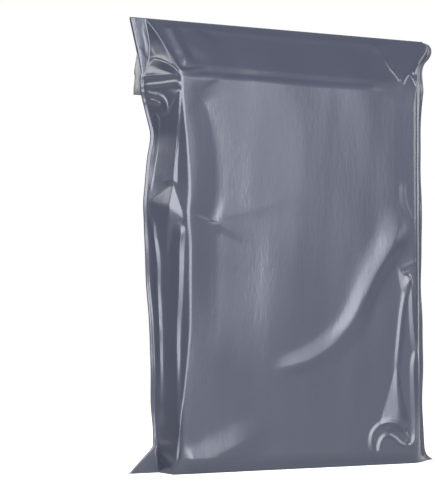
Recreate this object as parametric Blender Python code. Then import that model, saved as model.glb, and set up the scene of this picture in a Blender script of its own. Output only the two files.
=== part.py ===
"""Sealed poly mailer: a film bag drawn tight over a flat, block-shaped fill, standing on its bottom end.

Metres, +Z up. The plain front faces -Y, the sealed flap is folded over the back, and the origin is at the
middle of the base.

Places on the film are given in film coordinates. s runs across the bag: -1 is the inside of the left weld,
0 and 1 are the edges of the fill, 2 is the inside of the right weld, and WELD_S more is its outer edge.
t runs up the bag: 0 is the base, 1 is the top of the fill and 2 is the folded top edge.
"""

from collections import namedtuple
from math import hypot

import bmesh
import bpy
import numpy as np

# Driving dimensions
FILL_WIDTH = 0.196
FILL_HEIGHT = 0.283
FILL_DEPTH = 0.042
FRONT_BULGE = 0.0012
TOP_RISE = 0.042  # from the top of the fill up to the folded top edge
LEFT_RUN = 0.0165  # from the fill's edge out to the seam's waist, as seen from the front
RIGHT_RUN = 0.0153
LEFT_PLEAT = 0.0053  # film taken up by the pleat beside the left edge
WELD_WIDTH = 0.0030
WELD_THICKNESS = 0.0008
TOP_FOLD_THICKNESS = 0.0014
BASE_EDGE_HEIGHT = 0.012  # the rounded lower edge of the fill
BASE_EDGE_INSET = 0.0016
FLAP_LENGTH = 0.055
FLAP_THICKNESS = 0.0009
FLAP_OVERHANG = 0.0055  # how far the flap's left end stands out past the drawn-in seam
FLAP_FREE_FROM = 0.0056  # the flap's end stands free where the seam is drawn in further than this
FLAP_EDGE_SLOPE = 0.0005  # height over which the flap's lower edge steps down to the film
SEAM_SWAY = 0.0012
SWAY_LENGTH = 0.1047  # from one of the sway's waves to the next, up the weld
SWAY_RIPPLE = 0.0433  # the same for the smaller waves on it
SWAY_FADE = 0.028  # height over which the sway fades out at the base and the top
SWAY_TURN = -0.6  # where in their turn, in radians, the waves start at the base
RIPPLE_TURN = 1.0
RIPPLE_SHARE = 0.3  # of the larger waves
CREASE = 0.001  # the unit that the folds' sizes below are given in

# The bag laid flat reaches this far out from the fill's edges, and its corners keep that reach
HALF_DEPTH = FILL_DEPTH / 2
LEFT_REACH = hypot(LEFT_RUN, HALF_DEPTH) + LEFT_PLEAT
RIGHT_REACH = hypot(RIGHT_RUN, HALF_DEPTH)
FILL_CENTRE = (LEFT_REACH - RIGHT_REACH) / 2
FILL_LEFT = FILL_CENTRE - FILL_WIDTH / 2
FILL_RIGHT = FILL_CENTRE + FILL_WIDTH / 2
HEIGHT = FILL_HEIGHT + TOP_RISE
FLAP_EDGE_Z = HEIGHT - FLAP_LENGTH
WELD_S = 0.1

# How far each seam is drawn in, from 0 at the corners' reach to 1 at the waist, by t
LEFT_SEAM = (
    (0.0, 0.0), (0.02, 0.36), (0.04, 0.73), (0.056, 1.03), (0.066, 1.17), (0.085, 1.2), (0.18, 1.1),
    (0.36, 0.98), (0.485, 0.86), (0.625, 0.71), (0.69, 0.65), (0.725, 0.72), (0.795, 0.89), (0.86, 1.04),
    (0.89, 0.91), (0.93, 0.71), (0.96, 0.55), (1.07, 0.52), (1.4, 0.36), (2.0, 0.0),
)
RIGHT_SEAM = (
    (0.0, 0.0), (0.012, 0.5), (0.024, 0.68), (0.05, 0.76), (0.1, 0.8), (0.3, 0.9), (0.5, 0.9), (0.65, 0.9),
    (0.88, 0.8), (1.1, 0.72), (1.24, 0.8), (1.5, 0.78), (1.6, 0.62), (1.7, 0.25), (1.83, 0.0), (1.92, 0.08),
    (1.97, 0.3), (2.0, 0.75),
)

# How far the fill's left edge stands in from its straight place, by t, in creases
LEFT_FILL_EDGE = (
    (0.0, -6.0), (0.03, -5.8), (0.07, -4.8), (0.16, -0.5), (0.25, 2.5), (0.35, 5.2), (0.5, 6.0), (0.58, 6.0),
    (0.64, 4.5), (0.71, 5.5), (0.79, 4.2), (0.88, 1.8), (0.97, -0.2), (2.0, 0.0),
)

# Where the full film's left foot lies, by t, as a share of the way out to the weld. Near the base the film
# outside it lies flat, as an ear.
LEFT_FOOT = (
    (0.0, 0.32), (0.011, 0.40), (0.035, 0.59), (0.062, 0.96), (0.07, 1.0), (0.2, 1.0), (1.05, 1.0),
    (1.2, 0.90), (1.35, 0.76), (1.5, 0.71), (2.0, 0.71),
)

# Columns and rows of the film, as (where a zone ends, how many steps it has)
COLUMN_ZONES = ((-1 - WELD_S, 0), (-1, 1), (0, 11), (0.12, 6), (0.75, 12), (1, 11), (2, 6), (2 + WELD_S, 1))
ROW_ZONES = ((0, 0), (0.07, 7), (0.12, 3), (0.86, 26), (1, 8), (1.85, 12), (2, 4))

Fold = namedtuple("Fold", "points height left right start end grow crest")
FOLD_STEPS = 8  # straight steps between two points of a fold
FOLD_REACH = 2.5  # a fold is worked out this many widths to each side
FOOT_ROUNDING = 0.25  # of a flank's width


def fold(points, height, left, right=None, start=0.2, end=0.2, grow=1.0, crest=0.35):
    """A ridge, or a valley where its height is negative, along film points. Its sizes are in creases.

    left and right are the widths of its flanks, looking along it, and crest is how softly it is rounded.
    start and end are the shares of its length over which it rises and dies, and grow is how much larger it
    is at its end.
    """
    right = right or left
    return Fold(points, height * CREASE, left * CREASE, right * CREASE, start, end, grow, crest * CREASE)


# The hips from the fill's top corners to the bag's corners, and the film beside them
HIP_FOLDS = (
    fold(((-0.71, 2.0), (-0.515, 1.72), (-0.34, 1.47), (-0.18, 1.24), (-0.05, 1.12), (0.01, 1.10),
          (0.05, 1.15), (0.09, 1.35)), 0.8, 4.5, start=0.03, end=0.3),
    fold(((-0.11, 1.95), (0.0, 1.75), (0.04, 1.50), (0.03, 1.26)), 1.1, 6.0, 5.0, start=0.1, end=0.5,
         crest=1.2),
    fold(((-0.81, 1.98), (-0.87, 1.80), (-0.86, 1.60), (-0.88, 1.45), (-0.96, 1.34)), -1.3, 3.0),
    fold(((0.89, 1.66), (0.90, 1.45), (0.92, 1.30), (0.94, 1.11)), 1.1, 3.0),
    fold(((0.94, 1.10), (0.955, 1.22), (0.985, 1.366)), 1.1, 2.5),
    fold(((0.985, 1.366), (1.0, 1.22), (1.12, 1.07)), 1.1, 2.5),
    fold(((1.02, 1.32), (1.2, 1.42), (1.5, 1.56)), 1.4, 3.0),
)

# The gathers from the left weld to the fill's top left corner
GATHER_FOLDS = (
    fold(((-1.1, 1.52), (-1.0, 1.45), (-0.93, 1.34), (-0.84, 1.30), (-0.68, 1.30), (-0.50, 1.24),
          (-0.33, 1.15), (-0.10, 1.01)), 1.7, 3.0, 4.5, start=0.05, end=0.12),
    fold(((-1.08, 1.0), (-0.68, 1.008), (-0.11, 1.0)), 3.0, 6.5, 3.0, start=0.03, end=0.1, grow=0.25),
    fold(((-1.1, 0.973), (-0.95, 0.978), (-0.58, 0.98), (-0.25, 0.983), (-0.13, 0.98), (-0.06, 0.968)),
         1.3, 3.0, 3.5, start=0.03, end=0.15),
    fold(((-1.1, 0.964), (-0.87, 0.955), (-0.67, 0.95), (-0.53, 0.938), (-0.49, 0.924), (-0.56, 0.91)),
         1.3, 3.0, start=0.03, end=0.3),
    fold(((-0.10, 0.965), (-0.33, 0.933), (-0.66, 0.897)), 0.9, 3.0, 6.0),
)

# The pleat beside the left edge, pinched at mid height, and the flat ear at the base
PLEAT_FOLDS = (
    fold(((-0.08, 0.97), (-0.11, 0.90), (-0.17, 0.83), (-0.20, 0.78), (-0.22, 0.735)), 1.3, 2.5, 3.5,
         start=0.1, end=0.1, grow=1.3),
    fold(((-0.21, 0.77), (-0.24, 0.735), (-0.33, 0.71), (-0.44, 0.675), (-0.50, 0.645)), 1.4, 2.0, 3.2,
         start=0.25, end=0.3, grow=4.2),
    fold(((-0.20, 0.74), (-0.33, 0.714), (-0.51, 0.697), (-0.65, 0.687), (-0.92, 0.678), (-1.08, 0.688)),
         1.2, 3.0, start=0.3, end=0.05),
    fold(((-0.004, 0.632), (-0.02, 0.60), (-0.04, 0.566), (-0.04, 0.513), (-0.06, 0.442), (-0.14, 0.371),
          (-0.16, 0.31)), 2.1, 3.2, 5.0, start=0.1, end=0.3, grow=0.6),
    fold(((-0.10, 0.41), (-0.15, 0.345), (-0.17, 0.282), (-0.24, 0.176), (-0.31, 0.068), (-0.24, 0.009)),
         2.4, 2.5, 3.5, start=0.25, end=0.04),
    fold(((-1.05, 0.672), (-0.92, 0.622), (-0.85, 0.575), (-0.80, 0.525), (-0.81, 0.46), (-0.84, 0.352),
          (-0.86, 0.26)), 1.6, 3.0, start=0.15, end=0.3),
    fold(((-0.81, 0.45), (-0.84, 0.352), (-0.87, 0.209), (-0.95, 0.15)), 2.4, 3.0, start=0.3, end=0.3),
    fold(((-0.97, 0.062), (-0.62, 0.037), (-0.42, 0.012), (-0.34, 0.0)), -2.5, 3.0, start=0.05, end=0.1),
)

# The film tucked in above the fill, the fill's own faint facet, and the long soft fold across the front
BROAD_FOLDS = (
    fold(((0.0, 1.09), (0.18, 1.09), (0.49, 1.06), (0.74, 1.05), (0.95, 1.05)), -0.9, 3.0, 3.5, start=0.1,
         end=0.1, crest=0.8),
    fold(((0.13, 1.0), (0.147, 0.82), (0.15, 0.64), (0.137, 0.45), (0.12, 0.25)), -3.2, 60, 26, end=0.5,
         crest=1.5),
    fold(((0.19, 0.80), (0.18, 0.70), (0.155, 0.615)), 1.0, 9.0, 7.0, start=0.85, end=0.1, crest=0.8),
    fold(((0.905, 0.64), (0.872, 0.592), (0.835, 0.55), (0.798, 0.509), (0.765, 0.459), (0.73, 0.41),
          (0.688, 0.375), (0.633, 0.343), (0.575, 0.318), (0.512, 0.293), (0.45, 0.279), (0.38, 0.27)),
         4.7, 9.0, 16.5, start=0.18, end=0.22, grow=0.48, crest=2.6),
    fold(((1.0, 0.566), (0.93, 0.555), (0.88, 0.53), (0.83, 0.488), (0.78, 0.431), (0.73, 0.375),
          (0.67, 0.332), (0.60, 0.297)), -1.2, 24, 7.0, crest=2.0),
    fold(((0.03, 0.035), (0.09, 0.064), (0.14, 0.099), (0.16, 0.134)), 1.0, 10, 9, crest=1.5),
    fold(((0.93, 0.76), (0.93, 0.707), (0.95, 0.671), (0.98, 0.635)), 0.7, 4.0, 3.0, crest=1.5),
    fold(((-0.3, 1.93), (0.1, 1.91), (0.5, 1.90), (0.95, 1.90)), 0.45, 3.0, 5.0, start=0.1, end=0.1,
         crest=1.5),
)

# The loop beside the right edge, and the curl it ends in
LOOP_FOLDS = (
    fold(((0.905, 0.52), (0.93, 0.505), (0.955, 0.487), (0.966, 0.459), (0.972, 0.406), (0.982, 0.346),
          (0.995, 0.312), (1.1, 0.27)), 1.6, 3.0, start=0.05, end=0.2),
    fold(((0.945, 0.50), (0.935, 0.459), (0.922, 0.406), (0.912, 0.353), (0.900, 0.283), (0.890, 0.212),
          (0.880, 0.15), (0.87, 0.11)), 1.3, 4.0, 3.0, start=0.04, end=0.06, grow=1.5),
    fold(((0.892, 0.21), (0.882, 0.16), (0.873, 0.112)), 1.9, 4.5, 6.0, start=0.7, end=0.05),
    fold(((0.81, 0.012), (0.79, 0.039), (0.785, 0.06), (0.79, 0.085), (0.82, 0.106), (0.855, 0.117),
          (0.89, 0.112), (0.91, 0.095), (0.93, 0.074), (0.945, 0.056)), 1.8, 3.5, start=0.1, end=0.1),
    fold(((0.94, 0.051), (0.955, 0.052), (0.97, 0.06), (0.98, 0.078), (0.98, 0.124), (0.975, 0.194),
          (0.975, 0.265), (0.995, 0.318)), 1.4, 3.0, start=0.1, end=0.15),
)
FRONT_FOLDS = HIP_FOLDS + GATHER_FOLDS + PLEAT_FOLDS + BROAD_FOLDS + LOOP_FOLDS
BACK_FOLDS = (
    fold(((0.0, 1.02), (-0.2, 1.25), (-0.5, 1.62)), 1.4, 3.0),
    fold(((1.0, 1.02), (1.2, 1.25), (1.5, 1.62)), 1.4, 3.0),
    fold(((0.03, 1.05), (0.3, 1.06), (0.6, 1.06), (0.95, 1.05)), -0.8, 5.0, crest=1.0),
    fold(((0.0, 0.95), (0.02, 0.80), (-0.02, 0.62), (0.03, 0.45), (0.0, 0.25), (-0.1, 0.05)), 1.4, 3.0),
    fold(((1.0, 0.95), (0.98, 0.78), (1.02, 0.60), (0.97, 0.42), (1.0, 0.22), (1.1, 0.05)), 1.4, 3.0),
    fold(((0.12, 0.05), (0.18, 0.16), (0.28, 0.24), (0.42, 0.28)), 1.5, 8.0, crest=1.0),
    fold(((0.95, 0.70), (0.85, 0.62), (0.72, 0.57), (0.60, 0.55)), 1.4, 9.0, crest=1.0),
)
FOLD_ROOM = HALF_DEPTH / 6  # folds are whole where the film is this far from the middle plane
BASE_FOLD_SHARE = 0.1  # how much of a fold is left at the base

# How softly the fill's edges and the hips are rounded, as a share of the film's depth
EDGE_SOFTNESS = 0.22
HIP_SOFTNESS = 0.18

FLAP_END_SLOPE = 2  # how fast the flap's end comes free as the seam draws in past FLAP_FREE_FROM
ROW_CLEARANCE = 0.35  # of a mean row, kept free on each side of the flap's edge


def clear_scene():
    for thing in list(bpy.data.objects):
        bpy.data.objects.remove(thing, do_unlink=True)


def height_of(t):
    """Height of the film at t."""
    return np.where(t < 1, t * FILL_HEIGHT, FILL_HEIGHT + (t - 1) * TOP_RISE)


def row_of(z):
    """The t of a height."""
    return np.where(z < FILL_HEIGHT, z / FILL_HEIGHT, 1 + (z - FILL_HEIGHT) / TOP_RISE)


def smooth_through(t, table):
    """Value at t of a smooth curve through a table's points."""
    knots, values = np.array(table).T
    slopes = np.gradient(values, knots)
    i = np.clip(np.searchsorted(knots, t, side="right") - 1, 0, len(knots) - 2)
    step = knots[i + 1] - knots[i]
    u = (t - knots[i]) / step
    from_first = (1 + 2 * u) * values[i] + u * step * slopes[i]
    from_last = (3 - 2 * u) * values[i + 1] - (1 - u) * step * slopes[i + 1]
    return (1 - u) ** 2 * from_first + u**2 * from_last


def left_edge(t):
    return FILL_LEFT - LEFT_REACH + smooth_through(t, LEFT_SEAM) * (LEFT_REACH - LEFT_RUN)


def right_edge(t):
    return FILL_RIGHT + RIGHT_REACH - smooth_through(t, RIGHT_SEAM) * (RIGHT_REACH - RIGHT_RUN)


def across(s, t):
    """The x of film coordinates s and t."""
    left, right = left_edge(t), right_edge(t)
    left_side = FILL_LEFT + s * (FILL_LEFT - left - WELD_WIDTH)
    right_side = FILL_RIGHT + (s - 1) * (right - WELD_WIDTH - FILL_RIGHT)
    x = np.where(s < 0, left_side, np.where(s > 1, right_side, FILL_LEFT + s * FILL_WIDTH))
    x = np.where(s < -1, left, x)
    return np.where(s > 2, right, x)


def lesser(a, b, softness):
    """The lesser of two values, blended where they are close."""
    share = np.clip(0.5 + (b - a) / (2 * softness), 0, 1)
    return b + (a - b) * share - softness * share * (1 - share)


def fullness(x, z):
    """Depth of the tight film in front of the bag's middle plane, before its folds."""
    t = row_of(z)
    left_weld = left_edge(t) + WELD_WIDTH
    right_weld = right_edge(t) - WELD_WIDTH
    left_foot = FILL_LEFT - smooth_through(t, LEFT_FOOT) * (FILL_LEFT - left_weld)
    fill_left = FILL_LEFT + smooth_through(t, LEFT_FILL_EDGE) * CREASE
    from_left = (x - left_foot) / (fill_left - left_foot)
    from_right = (right_weld - x) / (right_weld - FILL_RIGHT)
    from_top = (HEIGHT - z) / TOP_RISE
    share = lesser(lesser(from_left, from_right, HIP_SOFTNESS), from_top, HIP_SOFTNESS)
    share = np.maximum(lesser(share, 1.0, EDGE_SOFTNESS), 0)
    to_base = np.clip(1 - z / BASE_EDGE_HEIGHT, 0, 1)
    edge = WELD_THICKNESS / 2 + (TOP_FOLD_THICKNESS - WELD_THICKNESS) / 2 * np.clip(t - 1, 0, 1)
    depth = HALF_DEPTH - BASE_EDGE_INSET * to_base**2
    return edge + share * (depth - edge)


def bulge(s, t):
    inside = np.clip(s, 0, 1)
    up = np.clip(t, 0, 1)
    return FRONT_BULGE * 16 * inside * (1 - inside) * up * (1 - up)


def curve_through(points):
    """Places on the film along a smooth curve through a fold's points."""
    s, t = np.array(points).T
    knots = np.column_stack([across(s, t), height_of(t)])
    ends = np.vstack([2 * knots[0] - knots[1], knots, 2 * knots[-1] - knots[-2]])
    u = np.linspace(0, 1, FOLD_STEPS, endpoint=False)[:, None]
    spans = []
    for a, b, c, d in zip(ends, ends[1:], ends[2:], ends[3:]):
        bend = (2 * a - 5 * b + 4 * c - d) * u**2 + (3 * b - a - 3 * c + d) * u**3
        spans.append(b + ((c - a) * u + bend) / 2)
    return np.vstack(spans + [knots[-1:]])


def fold_profile(x, z, crease):
    """Height that one fold adds at places near it: two straight flanks with rounded feet and crest."""
    line = curve_through(crease.points)
    start, step = line[:-1], np.diff(line, axis=0)
    lengths = np.linalg.norm(step, axis=1)
    before = np.concatenate([[0], np.cumsum(lengths)])
    place = np.stack([x, z], axis=-1)[:, None, :]
    along = np.clip(((place - start) * step).sum(-1) / lengths**2, 0, 1)
    away = place - start - along[..., None] * step
    distance = np.linalg.norm(away, axis=-1)
    nearest = distance.argmin(axis=-1)
    pick = np.arange(len(x))
    near = distance[pick, nearest]
    side = step[nearest, 0] * away[pick, nearest, 1] - step[nearest, 1] * away[pick, nearest, 0]
    done = (before[nearest] + along[pick, nearest] * lengths[nearest]) / before[-1]
    size = 1 + (crease.grow - 1) * done
    width = np.where(side > 0, crease.left, crease.right) * size
    u = near / width
    top = crease.crest * size / width
    flanks = (np.hypot(u - 1, FOOT_ROUNDING) + np.hypot(u + 1, FOOT_ROUNDING)) / 2 - np.hypot(u, top)
    rise = np.clip(done / crease.start, 0, 1)
    fall = np.clip((1 - done) / crease.end, 0, 1)
    fade = rise * rise * (3 - 2 * rise) * fall * fall * (3 - 2 * fall)
    return abs(crease.height) * size * fade * np.maximum(flanks, 0)


def add_fold(raised, x, z, crease):
    """Raises the film to one fold, only where it reaches."""
    line = curve_through(crease.points)
    reach = FOLD_REACH * max(crease.left, crease.right) * max(crease.grow, 1)
    low, high = line.min(axis=0) - reach, line.max(axis=0) + reach
    near = (x > low[0]) & (x < high[0]) & (z > low[1]) & (z < high[1])
    raised[near] = np.maximum(raised[near], fold_profile(x[near], z[near], crease))


def seam_sway(s, z):
    """How far the welds wander to the front and back, fading out at the fill's edges."""
    out = np.clip(np.maximum(-s, s - 1), 0, 1) ** 2
    ends = np.clip(z / SWAY_FADE, 0, 1) * np.clip((HEIGHT - z) / SWAY_FADE, 0, 1)
    turn = 2 * np.pi * z
    ripple = RIPPLE_SHARE * np.sin(turn / SWAY_RIPPLE + RIPPLE_TURN)
    return SEAM_SWAY * out * ends * (np.sin(turn / SWAY_LENGTH + SWAY_TURN) + ripple)


def flap_step(z):
    """1 on the flap, 0 below its edge."""
    return np.clip((z - FLAP_EDGE_Z) / FLAP_EDGE_SLOPE + 0.5, 0, 1)


def film_face(s, t, folds, towards):
    """Places on the front (towards -1) or back (towards 1) face of the film."""
    x, z = across(s, t), height_of(t)
    full = fullness(x, z)
    ridges, valleys = np.zeros_like(x), np.zeros_like(x)
    for crease in folds:
        add_fold(ridges if crease.height > 0 else valleys, x, z, crease)
    room = np.clip(full / FOLD_ROOM, 0, 1) * np.clip(z / BASE_EDGE_HEIGHT + BASE_FOLD_SHARE, 0, 1)
    depth = np.maximum(full + bulge(s, t) + (ridges - valleys) * room, WELD_THICKNESS / 2)
    return x, seam_sway(s, z) + towards * depth, z


def front_places(s, t):
    return np.stack(film_face(s, t, FRONT_FOLDS, -1), axis=-1)


def back_places(s, t):
    """The back face, with the flap glued over its top and its left end standing out past the seam."""
    x, y, z = film_face(s, t, BACK_FOLDS, 1)
    on_flap = flap_step(z)
    y = y + FLAP_THICKNESS * on_flap
    drawn_in = left_edge(t) - (FILL_LEFT - LEFT_REACH)
    free = np.clip(FLAP_END_SLOPE * (drawn_in - FLAP_FREE_FROM), 0, FLAP_OVERHANG)
    x = x - np.where(s < -1, 1, 0) * on_flap * free
    return np.stack([x, y, z], axis=-1)


def steps_through(zones):
    """Even steps within each zone."""
    values = [zones[0][0]]
    for (start, _), (end, count) in zip(zones, zones[1:]):
        values.extend(np.linspace(start, end, count + 1)[1:])
    return np.array(values)


def film_rows():
    """Rows up the bag, with a close pair at the flap's edge."""
    edge = row_of(np.array([FLAP_EDGE_Z - FLAP_EDGE_SLOPE / 2, FLAP_EDGE_Z + FLAP_EDGE_SLOPE / 2]))
    rows = steps_through(ROW_ZONES)
    clear = ROW_CLEARANCE / len(rows)
    rows = rows[(rows < edge[0] - clear) | (rows > edge[1] + clear)]
    return np.sort(np.concatenate([rows, edge]))


def add_panel(bm, places):
    """A grid with its vertices moved to their places. Returns the vertices by row."""
    rows, columns = places.shape[:2]
    made = bmesh.ops.create_grid(bm, x_segments=columns - 1, y_segments=rows - 1, size=1.0)["verts"]
    made.sort(key=lambda vertex: (round(vertex.co.y, 4), vertex.co.x))
    for vertex, place in zip(made, places.reshape(-1, 3)):
        vertex.co = place
    return [made[first : first + columns] for first in range(0, len(made), columns)]


def rim(panel):
    """The vertices round a panel's border."""
    bottom, top = panel[0], panel[-1]
    left, right = [row[0] for row in panel], [row[-1] for row in panel]
    return bottom[:-1] + right[:-1] + top[:0:-1] + left[:0:-1]


def close_border(bm, front, back):
    """Faces round the border: the base, the welds' edges and the folded top edge."""
    a, b = rim(front), rim(back)
    for i in range(len(a)):
        bm.faces.new((a[i - 1], a[i], b[i], b[i - 1]))


def stand_on_origin(bm):
    """Puts the middle of the bag's box over the origin, with the base at height 0."""
    points = np.array([vertex.co for vertex in bm.verts])
    low, high = points.min(axis=0), points.max(axis=0)
    shift = (-(low[0] + high[0]) / 2, -(low[1] + high[1]) / 2, -low[2])
    bmesh.ops.translate(bm, verts=bm.verts, vec=shift)


def film_material():
    material = bpy.data.materials.new("grey_film")
    material.use_nodes = True
    shader = material.node_tree.nodes["Principled BSDF"]
    shader.inputs["Base Color"].default_value = (0.115, 0.125, 0.155, 1)
    shader.inputs["Roughness"].default_value = 0.33
    shader.inputs["Metallic"].default_value = 0
    return material


def build_mailer(collection):
    s, t = np.meshgrid(steps_through(COLUMN_ZONES), film_rows())
    bm = bmesh.new()
    front = add_panel(bm, front_places(s, t))
    back = add_panel(bm, back_places(s, t))
    close_border(bm, front, back)
    bmesh.ops.recalc_face_normals(bm, faces=bm.faces)
    stand_on_origin(bm)
    mesh = bpy.data.meshes.new("poly_mailer")
    bm.to_mesh(mesh)
    bm.free()
    mesh.materials.append(film_material())
    mesh.shade_smooth()
    mailer = bpy.data.objects.new("poly_mailer", mesh)
    collection.objects.link(mailer)
    return mailer


clear_scene()
pack = bpy.data.collections.new("sealed_poly_mailer")
bpy.context.scene.collection.children.link(pack)
build_mailer(pack)
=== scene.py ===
"""Looks of the sealed poly mailer: a creased, semi-gloss film bag standing on a white floor.

Places on the film are given in film coordinates, as on the solid. s runs across the bag: -1 is the inside
of the left weld, 0 and 1 are the edges of the fill, 2 is the inside of the right weld, and WELD_S more is
the weld's outer edge. t runs up the bag: 0 is the base, 1 is the top of the fill and 2 is the folded top
edge.
"""

from collections import namedtuple
from math import cos, hypot, radians, sin

import bmesh
import bpy
import numpy as np
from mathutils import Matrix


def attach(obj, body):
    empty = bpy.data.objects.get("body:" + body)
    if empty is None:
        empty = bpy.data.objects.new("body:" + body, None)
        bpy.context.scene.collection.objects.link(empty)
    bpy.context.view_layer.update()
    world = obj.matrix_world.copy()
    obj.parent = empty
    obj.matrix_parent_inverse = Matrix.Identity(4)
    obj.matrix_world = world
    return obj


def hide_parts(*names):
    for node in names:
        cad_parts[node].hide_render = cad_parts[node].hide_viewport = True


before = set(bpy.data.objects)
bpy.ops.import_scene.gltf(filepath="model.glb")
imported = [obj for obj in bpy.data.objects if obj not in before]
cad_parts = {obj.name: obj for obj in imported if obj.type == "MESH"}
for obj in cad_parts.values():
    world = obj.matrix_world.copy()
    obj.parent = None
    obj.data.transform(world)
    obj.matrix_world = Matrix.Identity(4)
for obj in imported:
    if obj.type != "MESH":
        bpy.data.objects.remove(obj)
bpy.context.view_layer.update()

NODE = "poly_mailer"
BODY = "root"

# Sizes of the filled bag, in metres, as the solid has them
FILL_WIDTH = 0.196
FILL_HEIGHT = 0.283
FILL_DEPTH = 0.042
FRONT_BULGE = 0.0012
TOP_RISE = 0.042  # from the top of the fill up to the folded top edge
LEFT_RUN = 0.0165  # from the fill's edge out to the seam's waist, as seen from the front
RIGHT_RUN = 0.0153
LEFT_PLEAT = 0.0053  # film taken up by the pleat beside the left edge
WELD_WIDTH = 0.0030
WELD_THICKNESS = 0.0008
TOP_FOLD_THICKNESS = 0.0014
BASE_EDGE_HEIGHT = 0.012  # the rounded lower edge of the fill
BASE_EDGE_INSET = 0.0016
FLAP_LENGTH = 0.055
FLAP_THICKNESS = 0.0009
FLAP_OVERHANG = 0.0055  # how far the flap's left end stands out past the drawn-in seam
FLAP_FREE_FROM = 0.0056  # the flap's end stands free where the seam is drawn in further than this
FLAP_END_SLOPE = 2  # how fast the flap's end comes free as the seam draws in past FLAP_FREE_FROM
SEAM_SWAY = 0.0012
SWAY_LENGTH = 0.1047  # from one of the sway's waves to the next, up the weld
SWAY_RIPPLE = 0.0433  # the same for the smaller waves on it
SWAY_FADE = 0.028  # height over which the sway fades out at the base and the top
SWAY_TURN = -0.6  # where in their turn, in radians, the waves start at the base
SWAY_RIPPLE_TURN = 1.0  # the same for the smaller waves
SWAY_RIPPLE_SHARE = 0.3  # of the larger waves

# The welds' fine form, which only the film has
WELD_BEND = 0.0003  # how far the welds' outer edges are bent to the back
WELD_BEND_PARTS = 3  # the outermost of this many parts of a weld's width is bent
HEM_BEND = 0.0013  # how much further the right weld is bent between HEM_FROM and HEM_TO
HEM_STEEPNESS = 1.4  # the hem is whole at 1 / HEM_STEEPNESS of the weld's width
HEM_FROM = 0.18
HEM_TO = 0.295
HEM_FADE = 0.02

HALF_DEPTH = FILL_DEPTH / 2
LEFT_REACH = hypot(LEFT_RUN, HALF_DEPTH) + LEFT_PLEAT
RIGHT_REACH = hypot(RIGHT_RUN, HALF_DEPTH)
FILL_CENTRE = (LEFT_REACH - RIGHT_REACH) / 2
FILL_LEFT = FILL_CENTRE - FILL_WIDTH / 2
FILL_RIGHT = FILL_CENTRE + FILL_WIDTH / 2
HEIGHT = FILL_HEIGHT + TOP_RISE
FLAP_EDGE_Z = HEIGHT - FLAP_LENGTH
WELD_S = 0.1

# How far each seam is drawn in, from 0 at the corners' reach to 1 at the waist, by t
LEFT_SEAM = (
    (0.0, 0.0), (0.02, 0.36), (0.04, 0.73), (0.056, 1.03), (0.066, 1.17), (0.085, 1.2), (0.18, 1.1),
    (0.36, 0.98), (0.485, 0.86), (0.625, 0.71), (0.69, 0.65), (0.725, 0.72), (0.795, 0.89), (0.86, 1.04),
    (0.89, 0.91), (0.93, 0.71), (0.96, 0.55), (1.07, 0.52), (1.4, 0.36), (2.0, 0.0),
)
RIGHT_SEAM = (
    (0.0, 0.0), (0.012, 0.5), (0.024, 0.68), (0.05, 0.76), (0.1, 0.8), (0.3, 0.9), (0.5, 0.9), (0.65, 0.9),
    (0.88, 0.8), (1.1, 0.72), (1.24, 0.8), (1.5, 0.78), (1.6, 0.62), (1.7, 0.25), (1.83, 0.0), (1.92, 0.08),
    (1.97, 0.3), (2.0, 0.75),
)

# How far the fill's left edge stands in from its straight place, by t, in metres
LEFT_FILL_EDGE = (
    (0.0, -0.0060), (0.03, -0.0058), (0.07, -0.0048), (0.16, -0.0005), (0.25, 0.0025), (0.35, 0.0052),
    (0.5, 0.0060), (0.58, 0.0060), (0.64, 0.0045), (0.71, 0.0055), (0.79, 0.0042), (0.88, 0.0018),
    (0.97, -0.0002), (2.0, 0.0),
)

# Where the full film's left foot lies, by t, as a share of the way out to the weld. Near the base the film
# outside it lies flat, as an ear.
LEFT_FOOT = (
    (0.0, 0.32), (0.011, 0.40), (0.035, 0.59), (0.062, 0.96), (0.07, 1.0), (0.2, 1.0), (1.05, 1.0),
    (1.2, 0.90), (1.35, 0.76), (1.5, 0.71), (2.0, 0.71),
)

# Columns and rows of the film, as (where a zone ends, how many steps it has), fine on the front
FINE_COLUMNS = (
    (-1 - WELD_S, 0), (-1, 5), (0, 56), (0.12, 36), (0.75, 50), (1, 64), (2, 24), (2 + WELD_S, 4),
)
FINE_ROWS = ((0, 0), (0.12, 58), (0.62, 92), (0.74, 44), (0.86, 30), (1, 74), (1.6, 62), (2, 30))
PLAIN_COLUMNS = (
    (-1 - WELD_S, 0), (-1, 3), (0, 34), (0.12, 16), (0.88, 60), (1, 16), (2, 34), (2 + WELD_S, 3),
)
PLAIN_ROWS = ((0, 0), (0.12, 22), (0.86, 110), (1, 24), (2, 56))
FLAP_ROWS = 60
ROUND_STEPS = 5  # places round each face's half of the top fold

MM = 0.001
Fold = namedtuple("Fold", "points height left right start end grow crest")
FOLD_STEPS = 8  # straight steps between two points of a fold
FOLD_REACH = 2.5  # a fold is worked out this many widths to each side
FOOT_ROUNDING = 0.25  # of a flank's width


def fold(points, height, left, right=None, start=0.2, end=0.2, grow=1.0, crest=0.35):
    """A ridge, or a valley where its height is negative, along film points. Its sizes are in millimetres.

    left and right are the widths of its flanks, looking along it, and crest is how softly it is rounded.
    start and end are the shares of its length over which it rises and dies, and grow is how much larger it
    is at its end.
    """
    return Fold(points, height * MM, left * MM, (right or left) * MM, start, end, grow, crest * MM)


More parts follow.
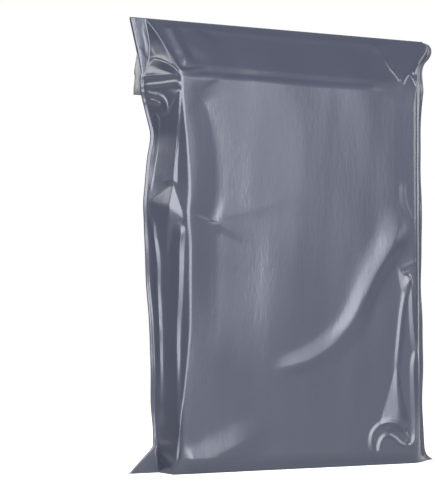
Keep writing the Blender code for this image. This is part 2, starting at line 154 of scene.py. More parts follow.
# The hip from the fill's top left corner to the bag's, and the folds beside it
HIP_FOLDS = (
    fold(((-0.71, 2.0), (-0.515, 1.72), (-0.34, 1.47), (-0.18, 1.24), (-0.05, 1.10), (0.01, 1.085),
          (0.06, 1.12), (0.11, 1.17)), 0.8, 2.4, 2.6, start=0.03, end=0.22),
    fold(((-0.11, 1.95), (-0.03, 1.75), (0.01, 1.52), (0.022, 1.32), (0.005, 1.13)), 1.5, 6.5, 5.0,
         start=0.1, end=0.25, crest=1.2),
    fold(((-0.83, 1.90), (-0.76, 1.6), (-0.70, 1.30)), 1.3, 1.2, 1.6, start=0.5, end=0.25, grow=1.8),
    fold(((-1.0, 2.0), (-1.0, 1.9), (-1.05, 1.8)), 0.9, 2.5, 3.0, start=0.1, end=0.4),
    fold(((-0.81, 1.98), (-0.87, 1.80), (-0.86, 1.60), (-0.88, 1.45), (-0.96, 1.34)), -1.3, 2.0, 2.0),
)
# The gathers between the fill's top left corner and the left weld
GATHER_FOLDS = (
    fold(((-1.1, 1.52), (-1.0, 1.45), (-0.93, 1.34), (-0.84, 1.30), (-0.68, 1.30), (-0.50, 1.24),
          (-0.33, 1.15), (-0.10, 1.01)), 1.7, 1.8, 4.5, start=0.05, end=0.12),
    fold(((-1.08, 1.0), (-0.68, 1.008), (-0.11, 1.0)), 3.0, 6.5, 2.2, start=0.03, end=0.1, grow=0.25),
    fold(((-1.1, 0.973), (-0.95, 0.978), (-0.58, 0.98), (-0.25, 0.983), (-0.13, 0.98), (-0.06, 0.968)),
         1.1, 1.4, 3.0, start=0.03, end=0.15),
    fold(((-1.1, 0.964), (-0.87, 0.955), (-0.67, 0.95), (-0.53, 0.938), (-0.49, 0.922), (-0.53, 0.905),
          (-0.62, 0.897)), 1.6, 2.2, 2.6, start=0.03, end=0.25),
    fold(((-1.1, 0.935), (-0.95, 0.94), (-0.78, 0.936), (-0.64, 0.927)), 1.5, 1.8, 2.2, start=0.03),
    fold(((-1.1, 0.893), (-1.0, 0.904), (-0.88, 0.91)), 0.7, 1.0, 1.5, start=0.03),
    fold(((-0.10, 0.965), (-0.33, 0.933), (-0.66, 0.897)), 0.9, 2.0, 6.0),
)
# The pleat beside the fill's left edge, and the folds of the left side
LEFT_EDGE_FOLDS = (
    fold(((-0.085, 0.965), (-0.125, 0.90), (-0.175, 0.83), (-0.21, 0.78), (-0.225, 0.722)), 0.85, 1.15, 3.0,
         start=0.03, end=0.05, grow=1.9),
    fold(((-0.45, 0.9), (-0.5, 0.82), (-0.42, 0.74)), 0.6, 4.0, 4.0, start=0.4, end=0.3, crest=2.0),
    fold(((-0.004, 0.632), (-0.02, 0.60), (-0.04, 0.566), (-0.05, 0.513), (-0.075, 0.442), (-0.13, 0.371),
          (-0.17, 0.282), (-0.23, 0.176), (-0.28, 0.068), (-0.24, 0.009)), 2.2, 2.8, 4.5,
         start=0.05, end=0.04),
    fold(((-1.05, 0.672), (-0.92, 0.622), (-0.85, 0.575), (-0.80, 0.525), (-0.81, 0.46), (-0.84, 0.352),
          (-0.86, 0.26)), 1.6, 2.6, 2.0, start=0.15, end=0.3),
    fold(((-0.81, 0.45), (-0.84, 0.352), (-0.87, 0.209), (-0.93, 0.11)), 2.4, 2.4, 1.6,
         start=0.3, end=0.15),
    fold(((-0.86, 0.91), (-0.82, 0.891), (-0.88, 0.867), (-0.90, 0.827), (-0.92, 0.777), (-1.0, 0.70)),
         1.0, 1.3, 1.2, start=0.05),
)
# Where the left side's film meets the flat ear at the base
EAR_FOLDS = (
    fold(((-0.97, 0.062), (-0.62, 0.037), (-0.42, 0.012), (-0.34, 0.0)), -2.5, 2.0, 2.0,
         start=0.05, end=0.1),
)
# The front's broad folds: two hollows beside the left edge, the long fold across with the valley beside it,
# and the lower left one
FRONT_FOLDS = (
    fold(((0.035, 1.0), (0.06, 0.965), (0.095, 0.93), (0.13, 0.86), (0.147, 0.79), (0.15, 0.73),
          (0.144, 0.67), (0.12, 0.612)), -2.2, 36, 14, start=0.2, end=0.07, grow=1.6, crest=0.5),
    fold(((0.15, 0.8), (0.145, 0.6), (0.137, 0.45), (0.12, 0.25)), -3.3, 60, 22,
         start=0.3, end=0.5, crest=3.0),
    fold(((0.945, 0.692), (0.925, 0.655), (0.892, 0.60), (0.852, 0.555), (0.808, 0.511), (0.768, 0.459),
          (0.733, 0.408), (0.70, 0.37), (0.655, 0.337), (0.60, 0.31), (0.535, 0.284), (0.465, 0.268),
          (0.385, 0.258), (0.345, 0.253)), 4.6, 13.0, 17.0, start=0.2, end=0.15, grow=0.5, crest=2.6),
    fold(((1.0, 0.566), (0.93, 0.555), (0.88, 0.53), (0.83, 0.488), (0.78, 0.431), (0.73, 0.375),
          (0.67, 0.332), (0.60, 0.297)), -1.2, 24, 7.0, crest=2.0),
    fold(((0.02, 0.0), (0.10, 0.025), (0.2, 0.06), (0.31, 0.088), (0.42, 0.10)), 2.4, 17, 12,
         start=0.1, end=0.5, crest=3.0),
)
# The loop and the curl at the lower right
LOOP_FOLDS = (
    fold(((0.945, 0.512), (0.962, 0.487), (0.967, 0.459), (0.970, 0.406), (0.976, 0.346), (0.988, 0.30),
          (1.1, 0.26)), 1.5, 2.5, 2.8, start=0.05, end=0.2),
    fold(((0.95, 0.50), (0.938, 0.455), (0.924, 0.406), (0.913, 0.353), (0.901, 0.283), (0.897, 0.22),
          (0.90, 0.17)), 1.1, 4.0, 2.6, start=0.05, end=0.35),
    fold(((0.808, 0.008), (0.79, 0.036), (0.783, 0.06), (0.79, 0.085), (0.815, 0.103), (0.845, 0.112),
          (0.875, 0.112), (0.90, 0.105), (0.925, 0.09), (0.943, 0.07), (0.95, 0.05)), 1.2, 2.5, 2.8,
         start=0.04, end=0.05),
    fold(((0.945, 0.047), (0.96, 0.051), (0.973, 0.06), (0.98, 0.078), (0.98, 0.124), (0.975, 0.194),
          (0.975, 0.265), (0.995, 0.318)), 1.4, 3.0, 2.2, start=0.03, end=0.15),
    fold(((0.81, 0.01), (0.816, 0.035), (0.822, 0.055), (0.836, 0.071), (0.858, 0.077), (0.885, 0.068),
          (0.912, 0.053), (0.942, 0.046)), 1.3, 2.6, 1.5, start=0.06, end=0.06),
    fold(((1.0, 0.54), (0.95, 0.527), (0.91, 0.517)), 0.4, 1.5, 2.0),
)
# Creases of the top right corner, soft folds of the top slope, and one on the front's right
RIGHT_FOLDS = (
    fold(((0.89, 1.66), (0.90, 1.45), (0.92, 1.30), (0.94, 1.11)), 0.7, 2.0, 1.2),
    fold(((0.94, 1.10), (0.955, 1.22), (0.985, 1.366)), 0.7, 1.2, 1.4),
    fold(((0.985, 1.366), (1.0, 1.22), (1.12, 1.07)), 0.7, 1.2, 1.4),
    fold(((1.02, 1.32), (1.2, 1.42), (1.5, 1.56)), 1.1, 2.0, 2.5),
    fold(((0.84, 1.93), (0.865, 1.82), (0.885, 1.68)), 0.7, 4.0, 7.0, start=0.3, end=0.5, crest=1.5),
    fold(((0.13, 1.9), (0.09, 1.6), (0.06, 1.3)), 1.1, 16, 11, start=0.3, end=0.4, crest=4.0),
    fold(((0.93, 0.76), (0.93, 0.707), (0.95, 0.671), (0.98, 0.635)), 0.7, 4.0, 3.0, crest=1.5),
    fold(((-0.3, 1.93), (0.1, 1.91), (0.5, 1.90), (0.95, 1.90)), 0.45, 3.0, 5.0,
         start=0.1, end=0.1, crest=1.5),
)
# Folds that lie over others: beside the top left weld, at the hollow's foot, along the base, and the tuck
OVERLYING_FOLDS = (
    fold(((-0.84, 2.0), (-0.86, 1.75), (-0.88, 1.5), (-0.93, 1.3)), 2.0, 6.0, 9.0,
         start=0.1, end=0.2, crest=1.5),
    fold(((0.175, 0.72), (0.16, 0.66), (0.13, 0.612)), 0.55, 16.0, 3.6, start=0.6, end=0.15, grow=1.8),
    fold(((0.0, 0.021), (0.5, 0.021), (1.0, 0.021)), 1.1, 16.0, 5.5, start=0.04, end=0.04, crest=1.2),
    fold(((0.0, 1.085), (0.18, 1.085), (0.49, 1.06), (0.74, 1.05), (0.95, 1.05)), -1.1, 5.0, 4.5,
         start=0.05, end=0.3, crest=2.0),
)
# Where ridges or valleys of one group cross, the larger one counts, and the groups add up
FRONT_GROUPS = (
    HIP_FOLDS + GATHER_FOLDS + LEFT_EDGE_FOLDS + EAR_FOLDS + FRONT_FOLDS + LOOP_FOLDS + RIGHT_FOLDS,
    OVERLYING_FOLDS,
)
# The back's few creases
BACK_FOLDS = (
    fold(((0.0, 1.02), (-0.2, 1.25), (-0.5, 1.62)), 1.4, 3.0),
    fold(((1.0, 1.02), (1.2, 1.25), (1.5, 1.62)), 1.4, 3.0),
    fold(((0.03, 1.05), (0.3, 1.06), (0.6, 1.06), (0.95, 1.05)), -0.8, 5.0, crest=1.0),
    fold(((0.0, 0.95), (0.02, 0.80), (-0.02, 0.62), (0.03, 0.45), (0.0, 0.25), (-0.1, 0.05)), 1.4, 3.0),
    fold(((1.0, 0.95), (0.98, 0.78), (1.02, 0.60), (0.97, 0.42), (1.0, 0.22), (1.1, 0.05)), 1.4, 3.0),
    fold(((0.12, 0.05), (0.18, 0.16), (0.28, 0.24), (0.42, 0.28)), 1.5, 8.0, crest=1.0),
    fold(((0.95, 0.70), (0.85, 0.62), (0.72, 0.57), (0.60, 0.55)), 1.4, 9.0, crest=1.0),
)
# Flat-sided bumps between creases, as (corners in order, peak, height, how softly the sides meet)
FACETS = (
    (((-0.225, 0.728), (0.01, 0.641), (-0.45, 0.545), (-0.85, 0.60), (-1.0, 0.684)), (-0.40, 0.670),
     2.9 * MM, 0.12),
    (((0.903, 0.528), (0.967, 0.497), (0.95, 0.44), (0.92, 0.462)), (0.955, 0.488), 2.2 * MM, 0.08),
    (((0.897, 0.265), (0.955, 0.11), (0.94, 0.085), (0.84, 0.085), (0.82, 0.11)), (0.907, 0.115),
     3.6 * MM, 0.2),
)

# How softly the film rounds where its faces meet, as shares of the fill's half depth
EDGE_SOFTNESS = 0.06
RIGHT_EDGE_SOFTNESS = 0.3
RIGHT_EDGE_FROM = 0.06  # between these two places in x it changes to the right edge's
RIGHT_EDGE_TO = 0.09
HIP_SOFTNESS = 0.03

FOLD_ROOM = 0.0035  # folds are whole where the film is this far from the middle plane
BASE_FOLD_SHARE = 0.1  # of a fold's height, left at the base

# Faint unevenness of the film, as many crossing waves
RIPPLE_SEED = 5
RIPPLE_COUNT = 26
RIPPLE_HEIGHT = 0.00005  # of a wave that is RIPPLE_MEAN_LENGTH long
RIPPLE_MEAN_LENGTH = 0.04
RIPPLE_LENGTHS = (0.018, 0.075)
RIPPLE_SPREAD = 0.45  # how far the waves' headings scatter, in radians
RIPPLE_DRAWN = 0.6  # less than 1 draws the waves out up the bag

FILM_COLOUR = (0.031, 0.034, 0.048)
FILM_ROUGHNESS = 0.24
INSIDE_COLOUR = (0.1, 0.1, 0.098)
INSIDE_ROUGHNESS = 0.5
INSIDE_TURN = -0.5  # faces of the flap that turn to the front more than this show the film's inside
FLAP_SHEET_SHARE = 0.9  # of the flap's step that its sheet fills

# The photograph's view
PHOTO_HEIGHT_PIXELS = 495
FOCAL_PIXELS = 1546
SENSOR_MM = 36
CAMERA_PLACE = (-0.5346, -1.0227, 0.115)
CAMERA_TURN = radians(24.98)
CAMERA_TILT = radians(2.36)

# The round floor fades out to the white behind it
FLOOR_RADIUS = 1.2
FLOOR_FADE_START = 0.25
FLOOR_DROP = 0.0002  # how far it lies under the bag

# The surround's light rises from the one level to the other towards one azimuth
SURROUND_DIM = 0.3
SURROUND_BRIGHT = 0.95
SURROUND_AZIMUTH = radians(2)
SURROUND_FROM = 0.3  # it starts to rise at this cosine of the angle from there

LAMP_AIM = (0, 0, 0.16)
COOL = (0.97, 1.0, 1.08)
NEUTRAL = (1, 1, 1)

# Lamps, as (name, azimuth, elevation, distance, width, height, radiance, colour), in degrees and metres
LAMPS = (
    ("key", -15, 22.5, 1.7, 1.73, 1.68, 5.8, COOL),
    ("fill", 23, 15, 1.7, 0.42, 0.7, 1.7, COOL),
    ("left", -80, 40, 1.6, 0.9, 1.0, 5.0, NEUTRAL),
    ("low_left", -82, 18, 1.6, 1.0, 0.5, 0.7, NEUTRAL),
    ("right", 70, 22, 1.6, 0.9, 1.0, 3.4, NEUTRAL),
    ("back_right", 135, 12, 1.6, 1.0, 1.0, 1.0, NEUTRAL),
)


def height_of(t):
    """Height of the film at t."""
    return np.where(t < 1, t * FILL_HEIGHT, FILL_HEIGHT + (t - 1) * TOP_RISE)


def row_of(z):
    """The t of a height."""
    return np.where(z < FILL_HEIGHT, z / FILL_HEIGHT, 1 + (z - FILL_HEIGHT) / TOP_RISE)


def smooth_through(t, table):
    """Value at t of a smooth curve through a table's points."""
    knots, values = np.array(table).T
    slopes = np.gradient(values, knots)
    i = np.clip(np.searchsorted(knots, t, side="right") - 1, 0, len(knots) - 2)
    step = knots[i + 1] - knots[i]
    u = (t - knots[i]) / step
    from_first = (1 + 2 * u) * values[i] + u * step * slopes[i]
    from_last = (3 - 2 * u) * values[i + 1] - (1 - u) * step * slopes[i + 1]
    return (1 - u) ** 2 * from_first + u**2 * from_last


def left_edge(t):
    return FILL_LEFT - LEFT_REACH + smooth_through(t, LEFT_SEAM) * (LEFT_REACH - LEFT_RUN)


def right_edge(t):
    return FILL_RIGHT + RIGHT_REACH - smooth_through(t, RIGHT_SEAM) * (RIGHT_REACH - RIGHT_RUN)


def across(s, t):
    """The x of film coordinates s and t."""
    left, right = left_edge(t), right_edge(t)
    left_side = FILL_LEFT + s * (FILL_LEFT - left - WELD_WIDTH)
    right_side = FILL_RIGHT + (s - 1) * (right - WELD_WIDTH - FILL_RIGHT)
    x = np.where(s < 0, left_side, np.where(s > 1, right_side, FILL_LEFT + s * FILL_WIDTH))
    left_weld = left + WELD_WIDTH * (s + 1 + WELD_S) / WELD_S
    right_weld = right - WELD_WIDTH * (2 + WELD_S - s) / WELD_S
    return np.where(s < -1, left_weld, np.where(s > 2, right_weld, x))


def lesser(a, b, softness):
    """The lesser of two values, blended where they are close."""
    share = np.clip(0.5 + (b - a) / (2 * softness), 0, 1)
    return b + (a - b) * share - softness * share * (1 - share)


def fullness(x, z):
    """Depth of the tight film in front of the bag's middle plane, before its folds."""
    t = row_of(z)
    left_weld = left_edge(t) + WELD_WIDTH
    right_weld = right_edge(t) - WELD_WIDTH
    left_foot = FILL_LEFT - smooth_through(t, LEFT_FOOT) * (FILL_LEFT - left_weld)
    from_left = (x - left_foot) / (FILL_LEFT + smooth_through(t, LEFT_FILL_EDGE) - left_foot)
    from_right = (right_weld - x) / (right_weld - FILL_RIGHT)
    from_top = (HEIGHT - z) / TOP_RISE
    share = lesser(lesser(from_left, from_right, HIP_SOFTNESS), from_top, HIP_SOFTNESS)
    rightward = np.clip((x - RIGHT_EDGE_FROM) / (RIGHT_EDGE_TO - RIGHT_EDGE_FROM), 0, 1)
    softness = EDGE_SOFTNESS + (RIGHT_EDGE_SOFTNESS - EDGE_SOFTNESS) * rightward
    share = np.maximum(lesser(share, 1.0, softness), 0)
    to_base = np.clip(1 - z / BASE_EDGE_HEIGHT, 0, 1)
    edge = WELD_THICKNESS / 2 + (TOP_FOLD_THICKNESS - WELD_THICKNESS) / 2 * np.clip(t - 1, 0, 1)
    depth = HALF_DEPTH - BASE_EDGE_INSET * to_base**2
    return edge + share * (depth - edge)


def bulge(s, t):
    """How far the film swells out over the fill: FRONT_BULGE in the middle, nothing at the fill's edges."""
    inside = np.clip(s, 0, 1)
    up = np.clip(t, 0, 1)
    return FRONT_BULGE * 16 * inside * (1 - inside) * up * (1 - up)


def curve_through(points):
    """Places on the film along a smooth curve through a fold's points."""
    s, t = np.array(points).T
    knots = np.column_stack([across(s, t), height_of(t)])
    ends = np.vstack([2 * knots[0] - knots[1], knots, 2 * knots[-1] - knots[-2]])
    u = np.linspace(0, 1, FOLD_STEPS, endpoint=False)[:, None]
    spans = []
    for a, b, c, d in zip(ends, ends[1:], ends[2:], ends[3:]):
        square = (2 * a - 5 * b + 4 * c - d) * u**2
        cube = (3 * b - a - 3 * c + d) * u**3
        spans.append(0.5 * (2 * b + (c - a) * u + square + cube))
    return np.vstack(spans + [knots[-1:]])


def fold_profile(x, z, crease):
    """Height that one fold adds at places near it: two straight flanks with rounded feet and crest."""
    line = curve_through(crease.points)
    start, step = line[:-1], np.diff(line, axis=0)
    lengths = np.linalg.norm(step, axis=1)
    before = np.concatenate([[0], np.cumsum(lengths)])
    place = np.stack([x, z], axis=-1)[:, None, :]
    along = np.clip(((place - start) * step).sum(-1) / lengths**2, 0, 1)
    away = place - start - along[..., None] * step
    distance = np.linalg.norm(away, axis=-1)
    nearest = distance.argmin(axis=-1)
    pick = np.arange(len(x))
    near = distance[pick, nearest]
    side = step[nearest, 0] * away[pick, nearest, 1] - step[nearest, 1] * away[pick, nearest, 0]
    done = (before[nearest] + along[pick, nearest] * lengths[nearest]) / before[-1]
    size = 1 + (crease.grow - 1) * done
    width = np.where(side > 0, crease.left, crease.right) * size
    u, top = near / width, crease.crest * size / width
    flanks = (np.hypot(u - 1, FOOT_ROUNDING) + np.hypot(u + 1, FOOT_ROUNDING)) / 2 - np.hypot(u, top)
    rise = np.clip(done / crease.start, 0, 1)
    fall = np.clip((1 - done) / crease.end, 0, 1)
    fade = rise * rise * (3 - 2 * rise) * fall * fall * (3 - 2 * fall)
    return abs(crease.height) * size * fade * np.maximum(flanks, 0)


def add_fold(raised, x, z, crease):
    """Raises the film to one fold, only where it reaches."""
    line = curve_through(crease.points)
    reach = FOLD_REACH * max(crease.left, crease.right) * max(crease.grow, 1)
    low, high = line.min(axis=0) - reach, line.max(axis=0) + reach
    near = (x > low[0]) & (x < high[0]) & (z > low[1]) & (z < high[1])
    raised[near] = np.maximum(raised[near], fold_profile(x[near], z[near], crease))


def facet_height(x, z, corners, peak, height, softness):
    """Height that one flat-sided bump adds, from 0 on its outline to all of it at its peak."""
    s, t = np.array(corners).T
    outline = np.column_stack([across(s, t), height_of(t)])
    top = np.array([across(*np.array(peak)), height_of(peak[1])])
    share = np.ones_like(x)
    for a, b in zip(outline, np.roll(outline, -1, axis=0)):
        inward = np.array([a[1] - b[1], b[0] - a[0]])
        reach = ((x - a[0]) * inward[0] + (z - a[1]) * inward[1]) / ((top - a) @ inward)
        share = lesser(share, reach, softness)
    return height * np.maximum(share, 0)


def ripples(x, z):
    """Faint unevenness, longer up the bag than across it."""
    rng = np.random.default_rng(RIPPLE_SEED)
    total = np.zeros_like(x)
    for _ in range(RIPPLE_COUNT):
        length = rng.uniform(*RIPPLE_LENGTHS)
        heading = rng.normal(0, RIPPLE_SPREAD)
        phase = rng.uniform(0, 2 * np.pi)
        way = x * cos(heading) + z * sin(heading) * RIPPLE_DRAWN
        total += np.sin(2 * np.pi / length * way + phase) * length / RIPPLE_MEAN_LENGTH
    return RIPPLE_HEIGHT * total


def seam_sway(s, z):
    """How far the welds wander to the front and back, fading out at the fill's edges."""
    out = np.clip(np.maximum(-s, s - 1), 0, 1) ** 2
    ends = np.clip(z / SWAY_FADE, 0, 1) * np.clip((HEIGHT - z) / SWAY_FADE, 0, 1)
    parts_out = WELD_BEND_PARTS * np.maximum(-1 - s, s - 2) / WELD_S
    bend = WELD_BEND * np.clip(parts_out - (WELD_BEND_PARTS - 1), 0, 1)
    hemmed = np.clip((z - HEM_FROM) / HEM_FADE, 0, 1) * np.clip((HEM_TO - z) / HEM_FADE, 0, 1)
    hem = HEM_BEND * np.clip(HEM_STEEPNESS * (s - 2) / WELD_S, 0, 1) * hemmed
    turn = 2 * np.pi * z
    ripple = SWAY_RIPPLE_SHARE * np.sin(turn / SWAY_RIPPLE + SWAY_RIPPLE_TURN)
    wave = np.sin(turn / SWAY_LENGTH + SWAY_TURN) + ripple
    return (SEAM_SWAY * out * wave + (bend + hem)) * ends


def film_depth(s, t, groups, facets=()):
    """Depth of one face of the film in front of the bag's middle plane."""
    x, z = across(s, t), height_of(t)
    full = fullness(x, z)
    raised = np.zeros_like(x)
    for folds in groups:
        ridges, valleys = np.zeros_like(x), np.zeros_like(x)
        for crease in folds:
            add_fold(ridges if crease.height > 0 else valleys, x, z, crease)
        raised += ridges - valleys
    room = np.clip(full / FOLD_ROOM, 0, 1) * np.clip(z / BASE_EDGE_HEIGHT + BASE_FOLD_SHARE, 0, 1)
    for facet in facets:
        raised += facet_height(x, z, *facet)
    depth = full + bulge(s, t) + raised * room + ripples(x, z) * np.clip(full / HALF_DEPTH, 0, 1)
    return x, np.maximum(depth, WELD_THICKNESS / 2), z


def front_places(s, t):
    x, depth, z = film_depth(s, t, FRONT_GROUPS, FACETS)
    return np.stack([x, seam_sway(s, z) - depth, z], axis=-1)


def back_places(s, t):
    x, depth, z = film_depth(s, t, (BACK_FOLDS,))
    return np.stack([x, seam_sway(s, z) + depth, z], axis=-1)


def steps_through(zones):
    """Even steps within each zone."""
    values = [zones[0][0]]
    for (start, _), (end, count) in zip(zones, zones[1:]):
        count = max(count // (1), 1)
        values.extend(np.linspace(start, end, count + 1)[1:])
    return np.array(values)


def with_borders(places, towards):
    """Adds the film's way round its borders: under the base, over the top fold and round the welds."""
    base = places[:1].copy()
    base[..., 1] = 0
    angles = np.linspace(0, np.pi / 2, ROUND_STEPS)[1:]
    top = []
    for angle in angles:
        row = places[-1:].copy()
        middle = row[..., 1] - towards * TOP_FOLD_THICKNESS / 2
        row[..., 1] = middle + towards * TOP_FOLD_THICKNESS / 2 * cos(angle)
        row[..., 2] += TOP_FOLD_THICKNESS / 2 * sin(angle)
        top.append(row)
    places = np.concatenate([base, places, *top], axis=0)
    left, right = places[:, :1].copy(), places[:, -1:].copy()
    for side in (left, right):
        side[..., 1] -= towards * WELD_THICKNESS / 2
    return np.concatenate([left, places, right], axis=1)


def panel_mesh(name, places, outward):
    """A grid with its vertices moved to their places, its faces pointing outward."""
    rows, columns = places.shape[:2]
    bm = bmesh.new()
    bmesh.ops.create_grid(bm, x_segments=columns - 1, y_segments=rows - 1, size=1.0)
    mesh = bpy.data.meshes.new(name)
    bm.to_mesh(mesh)
    bm.free()
    flat = np.empty(len(mesh.vertices) * 3)
    mesh.vertices.foreach_get("co", flat)
    flat = flat.reshape(-1, 3)
    order = np.lexsort((flat[:, 0], np.round(flat[:, 1] * (rows - 1))))
    flat[order] = places.reshape(-1, 3)
    mesh.vertices.foreach_set("co", flat.ravel())
    if outward > 0:
        mesh.flip_normals()
    mesh.update()
    mesh.shade_smooth()
    piece = bpy.data.objects.new(name, mesh)
    bpy.context.scene.collection.objects.link(piece)
    return piece


def film_panel(name, places, towards, material):
    """One face of the bag. towards is -1 for the front and 1 for the back."""
    piece = panel_mesh(name, with_borders(places, towards), towards)
    piece.data.materials.append(material)
    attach(piece, BODY)
    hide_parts(NODE)


def flap_panel(material, inside_material, shift):
    """The glued flap over the back's top, its left end standing out past the seam."""
    rows = FLAP_ROWS // 1
    s, t = np.meshgrid(steps_through(PLAIN_COLUMNS), np.linspace(row_of(FLAP_EDGE_Z), 2, rows))
    places = back_places(s, t)
    drawn_in = left_edge(t) - (FILL_LEFT - LEFT_REACH)
    free = np.clip(FLAP_END_SLOPE * (drawn_in - FLAP_FREE_FROM), 0, FLAP_OVERHANG)
    places[..., 0] -= np.clip(-1 - s, 0, WELD_S) / WELD_S * free
    places[..., 1] += FLAP_THICKNESS + shift
    piece = panel_mesh("flap", places, 1)
    sheet = bmesh.new()
    sheet.from_mesh(piece.data)
    bmesh.ops.solidify(sheet, geom=sheet.faces, thickness=FLAP_THICKNESS * FLAP_SHEET_SHARE)
    sheet.to_mesh(piece.data)
    sheet.free()
    piece.data.materials.append(material)
    piece.data.materials.append(inside_material)
    for face in piece.data.polygons:
        face.material_index = int(face.normal.y < INSIDE_TURN)
    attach(piece, BODY)
    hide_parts(NODE)


def node(tree, kind, **inputs):
    """A shader node with some of its inputs set."""
    made = tree.nodes.new(kind)
    for name, value in inputs.items():
        made.inputs[name.replace("_", " ")].default_value = value
    return made


def film_material(name, colour, roughness):
    """Glossy polythene with a fine grain and faint clouding drawn up the film."""
    material = bpy.data.materials.new(name)
    material.use_nodes = True
    tree = material.node_tree
    links = tree.links
    shader = tree.nodes["Principled BSDF"]
    shader.inputs["Base Color"].default_value = (*colour, 1)
    shader.inputs["Roughness"].default_value = roughness
    shader.inputs["IOR"].default_value = 1.51
    shader.inputs["Specular IOR Level"].default_value = 0.8
    place = tree.nodes.new("ShaderNodeTexCoord")
    drawn = tree.nodes.new("ShaderNodeMapping")
    drawn.inputs["Scale"].default_value = (1, 1, 0.3)
    links.new(place.outputs["Object"], drawn.inputs["Vector"])
    grain = node(tree, "ShaderNodeTexNoise", Scale=650, Detail=2, Roughness=0.6)
    cloud = node(tree, "ShaderNodeTexNoise", Scale=70, Detail=3, Roughness=0.65)
    for noise in (grain, cloud):
        links.new(drawn.outputs["Vector"], noise.inputs["Vector"])
    bump = node(tree, "ShaderNodeBump", Strength=0.3, Distance=0.0002)
    links.new(grain.outputs["Fac"], bump.inputs["Height"])
    soft_bump = node(tree, "ShaderNodeBump", Strength=0.3, Distance=0.0006)
    links.new(cloud.outputs["Fac"], soft_bump.inputs["Height"])
    links.new(soft_bump.outputs["Normal"], bump.inputs["Normal"])
    links.new(bump.outputs["Normal"], shader.inputs["Normal"])
    return material


def floor_material():
    """White to the camera, with the bag's shadow."""
    material = bpy.data.materials.new("white_floor")
    material.use_nodes = True
    tree = material.node_tree
    tree.nodes.clear()
    matte = node(tree, "ShaderNodeBsdfDiffuse", Color=(0.65, 0.65, 0.65, 1))
    glow = node(tree, "ShaderNodeEmission", Color=(1, 1, 1, 1), Strength=0.8)
    seen = tree.nodes.new("ShaderNodeLightPath")
    both = tree.nodes.new("ShaderNodeAddShader")
    lit = tree.nodes.new("ShaderNodeMixShader")
    tree.links.new(matte.outputs[0], both.inputs[0])
    tree.links.new(glow.outputs[0], both.inputs[1])
    tree.links.new(seen.outputs["Is Camera Ray"], lit.inputs[0])
    tree.links.new(matte.outputs[0], lit.inputs[1])
    tree.links.new(both.outputs[0], lit.inputs[2])
    place = tree.nodes.new("ShaderNodeNewGeometry")
    away = tree.nodes.new("ShaderNodeVectorMath")
    away.operation = "LENGTH"
    fade = tree.nodes.new("ShaderNodeMapRange")
    fade.interpolation_type = "SMOOTHSTEP"
    fade.inputs["From Min"].default_value = FLOOR_FADE_START
    fade.inputs["From Max"].default_value = FLOOR_RADIUS
    tree.links.new(place.outputs["Position"], away.inputs[0])
    tree.links.new(away.outputs["Value"], fade.inputs["Value"])
    clear = tree.nodes.new("ShaderNodeBsdfTransparent")
    mix = tree.nodes.new("ShaderNodeMixShader")
    out = tree.nodes.new("ShaderNodeOutputMaterial")
    tree.links.new(fade.outputs["Result"], mix.inputs[0])
    tree.links.new(lit.outputs[0], mix.inputs[1])
    tree.links.new(clear.outputs[0], mix.inputs[2])
    tree.links.new(mix.outputs[0], out.inputs[0])
    return material


def add_floor():
    mesh = bpy.data.meshes.new("floor")
    bm = bmesh.new()
    bmesh.ops.create_circle(bm, cap_ends=True, segments=64, radius=FLOOR_RADIUS)
    bm.to_mesh(mesh)
    bm.free()
    floor = bpy.data.objects.new("floor", mesh)
    floor.location = (0, 0, -FLOOR_DROP)
    mesh.materials.append(floor_material())
    bpy.context.scene.collection.objects.link(floor)


def add_world():
    """White behind the bag for the camera, and for the light a soft surround."""
    world = bpy.data.worlds.new("studio")
    bpy.context.scene.world = world
    world.use_nodes = True
    tree = world.node_tree
    links = tree.links
    tree.nodes.clear()
    direction = tree.nodes.new("ShaderNodeTexCoord")
    towards = tree.nodes.new("ShaderNodeVectorMath")
    towards.operation = "DOT_PRODUCT"
    towards.inputs[1].default_value = (sin(SURROUND_AZIMUTH), -cos(SURROUND_AZIMUTH), 0)
    level = node(tree, "ShaderNodeMapRange")
    level.interpolation_type = "SMOOTHSTEP"
    level.inputs["From Min"].default_value = SURROUND_FROM
    level.inputs["From Max"].default_value = 1.0
    level.inputs["To Min"].default_value = SURROUND_DIM
    level.inputs["To Max"].default_value = SURROUND_BRIGHT
    links.new(direction.outputs["Generated"], towards.inputs[0])
    links.new(towards.outputs["Value"], level.inputs["Value"])
    surround = node(tree, "ShaderNodeBackground", Color=(0.96, 0.98, 1.10, 1))
    links.new(level.outputs["Result"], surround.inputs["Strength"])
    white = node(tree, "ShaderNodeBackground", Color=(1, 1, 1, 1), Strength=1.0)
    seen = tree.nodes.new("ShaderNodeLightPath")
    mix = tree.nodes.new("ShaderNodeMixShader")
    out = tree.nodes.new("ShaderNodeOutputWorld")
    links.new(seen.outputs["Is Camera Ray"], mix.inputs[0])
    links.new(surround.outputs[0], mix.inputs[1])
    links.new(white.outputs[0], mix.inputs[2])
    links.new(mix.outputs[0], out.inputs[0])


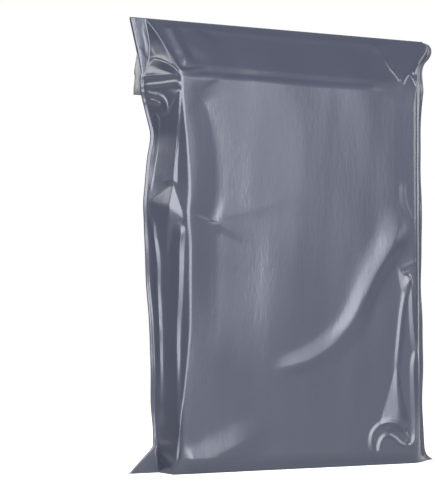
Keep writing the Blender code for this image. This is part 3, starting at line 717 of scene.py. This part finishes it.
def add_softbox(name, azimuth, elevation, distance, width, height, radiance, colour):
    """A rectangular lamp. Azimuth 0 is straight in front of the bag, and to its right is positive."""
    lamp = bpy.data.lights.new(name, "AREA")
    lamp.shape = "RECTANGLE"
    lamp.size, lamp.size_y = width, height
    lamp.energy = radiance * np.pi * width * height
    lamp.color = colour
    box = bpy.data.objects.new(name, lamp)
    turn, tilt = radians(azimuth), radians(elevation)
    away = (sin(turn) * cos(tilt), -cos(turn) * cos(tilt), sin(tilt))
    box.location = [a + distance * d for a, d in zip(LAMP_AIM, away)]
    box.rotation_euler = (np.pi / 2 - tilt, 0, turn)
    bpy.context.scene.collection.objects.link(box)


def add_camera():
    lens = bpy.data.cameras.new("camera")
    lens.sensor_fit = "VERTICAL"
    lens.sensor_height = SENSOR_MM
    lens.lens = FOCAL_PIXELS / PHOTO_HEIGHT_PIXELS * SENSOR_MM
    camera = bpy.data.objects.new("camera", lens)
    camera.location = CAMERA_PLACE
    camera.rotation_euler = (np.pi / 2 + CAMERA_TILT, 0, -CAMERA_TURN)
    bpy.context.scene.collection.objects.link(camera)
    bpy.context.scene.camera = camera


def build_bag():
    """The film's two faces and the flap, set so that their depth is centred as the solid's is."""
    film = film_material("grey_film", FILM_COLOUR, FILM_ROUGHNESS)
    inside = film_material("film_inside", INSIDE_COLOUR, INSIDE_ROUGHNESS)
    fine_s, fine_t = np.meshgrid(steps_through(FINE_COLUMNS), steps_through(FINE_ROWS))
    plain_s, plain_t = np.meshgrid(steps_through(PLAIN_COLUMNS), steps_through(PLAIN_ROWS))
    front = front_places(fine_s, fine_t)
    back = back_places(plain_s, plain_t)
    middle = (front[..., 1].min() + back[..., 1].max() + FLAP_THICKNESS) / 2
    front[..., 1] -= middle
    back[..., 1] -= middle
    film_panel("film_front", front, -1, film)
    film_panel("film_back", back, 1, film)
    flap_panel(film, inside, -middle)


build_bag()
add_floor()
add_world()
for softbox in LAMPS:
    add_softbox(*softbox)
add_camera()
bpy.context.scene.view_settings.view_transform = "Standard"
